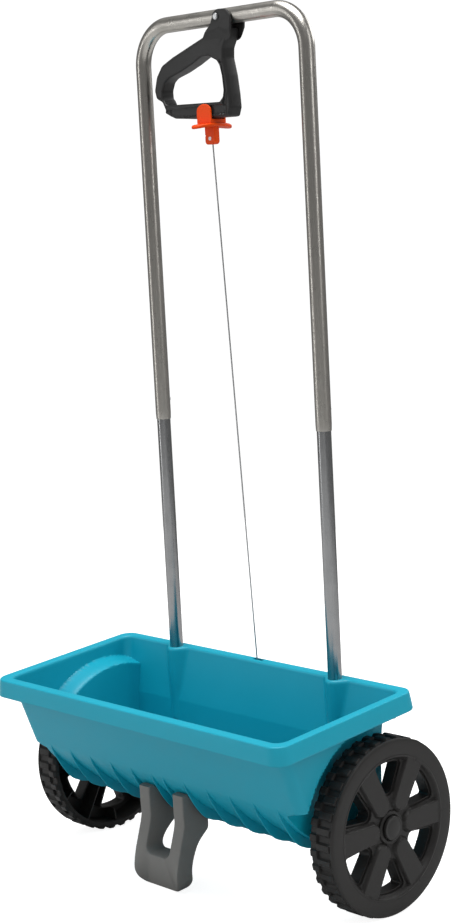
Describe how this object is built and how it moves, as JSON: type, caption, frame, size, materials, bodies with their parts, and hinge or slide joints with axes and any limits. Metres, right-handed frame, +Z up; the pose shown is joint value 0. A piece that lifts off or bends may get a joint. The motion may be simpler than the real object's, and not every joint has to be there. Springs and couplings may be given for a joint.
{
  "type": "drop spreader",
  "caption": "Two-wheeled lawn drop spreader: ribbed trough hopper, stand foot, U-shaped tube handle, squeeze lever with pull wire to a slotted shutter.",
  "frame": {"origin": "middle of the bounding box's footprint, on the ground", "axes": "+Z up, +X to the right seen from the front, -Y to the front (the stand foot's side), as parked on the wheels and the foot"},
  "size_m": [0.553, 0.2961, 1.0983],
  "materials": {
    "teal_plastic": "satin moulded",
    "teal_rail_plastic": "satin moulded",
    "black_plastic": "fine moulded",
    "grey_plastic": "fine moulded",
    "lever_plastic": "satin moulded",
    "orange_plastic": "satin moulded",
    "stainless_tube": "brushed along the tube",
    "zinc_tube": "bright zinc plated",
    "zinc_steel": "zinc plated",
    "bush_plastic": "natural",
    "nylon": "natural"
  },
  "bodies": {
    "chassis": {"hopper": "teal_plastic", "stand_foot": "grey_plastic", "lower_tube_left": "zinc_tube", "lower_tube_right": "zinc_tube", "handle_bow": "stainless_tube", "tube_screw_left": "zinc_steel", "tube_screw_right": "zinc_steel", "axle_bush_left": "bush_plastic", "axle_bush_right": "bush_plastic", "thrust_washer_left": "zinc_steel", "thrust_washer_right": "zinc_steel", "lever_pivot_pin": "zinc_steel", "pivot_lock_washer": "zinc_steel", "guide_rail_front_left": "teal_rail_plastic", "guide_rail_front_right": "teal_rail_plastic", "guide_rail_rear_left": "teal_rail_plastic", "guide_rail_rear_right": "teal_rail_plastic", "link_guide": "nylon", "guide_screw": "zinc_steel", "crank_pivot_screw": "zinc_steel", "return_spring": "zinc_steel"},
    "drive_wheel": {"wheel_right": "black_plastic", "axle_shaft": "zinc_steel", "agitator": "nylon", "hub_cap_right": "black_plastic", "lock_washer_right": "zinc_steel", "lock_washer_left": "zinc_steel"},
    "free_wheel": {"wheel_left": "black_plastic", "hub_cap_left": "black_plastic"},
    "lever": {"control_lever": "lever_plastic"},
    "dose": {"dose_slider": "orange_plastic"},
    "wire": {"wire_nipple": "zinc_steel", "pull_wire": "zinc_steel"},
    "link": {"pull_link": "zinc_steel"},
    "crank": {"bell_crank": "nylon"},
    "shutter": {"shutter_plate": "nylon"}
  },
  "joints": [
    {"name": "drive_wheel_spin", "type": "hinge", "parent": "chassis", "child": "drive_wheel", "pos_m": [0, 0.03862, 0.1095], "axis": [1, 0, 0], "continuous": true},
    {"name": "free_wheel_spin", "type": "hinge", "parent": "chassis", "child": "free_wheel", "pos_m": [0, 0.03862, 0.1095], "axis": [1, 0, 0], "continuous": true},
    {"name": "lever_squeeze", "type": "hinge", "parent": "chassis", "child": "lever", "pos_m": [0.0075, 0.0149, 1.08822], "axis": [0, 0.9976, 0.0699], "range_deg": [0, 12], "stiffness_Nm_per_rad": 2, "springref_deg": -20.05},
    {"name": "dose_set", "type": "hinge", "parent": "lever", "child": "dose", "pos_m": [0.0004, 0.08558, 0.22768], "axis": [0, -0.9976, -0.0699], "range_deg": [-0.16, 1.6]},
    {"name": "wire_turn", "type": "hinge", "parent": "dose", "child": "wire", "pos_m": [-0.024, 0.02521, 0.94108], "axis": [0, 0.9976, 0.0699], "range_deg": [-15, 0]},
    {"name": "link_pull", "type": "slide", "parent": "chassis", "child": "link", "axis": [0, -0.1391, 0.9903], "range_m": [0, 0.01145], "deforming": ["return_spring"]},
    {"name": "crank_turn", "type": "hinge", "parent": "chassis", "child": "crank", "pos_m": [-0.03, 0.1012, 0.12556], "axis": [0, -0.9903, -0.1391], "range_deg": [0, 21.6]},
    {"name": "shutter_slide", "type": "slide", "parent": "chassis", "child": "shutter", "axis": [1, 0, 0], "range_m": [0, 0.00675]}
  ],
  "couplings": [
    {"joint": "wire_turn", "follows": "lever_squeeze", "ratio": -1.201},
    {"joint": "link_pull", "follows": "lever_squeeze", "m_per_rad": 0.054431},
    {"joint": "crank_turn", "follows": "lever_squeeze", "ratio": 1.793},
    {"joint": "shutter_slide", "follows": "lever_squeeze", "m_per_rad": 0.032085}
  ]
}
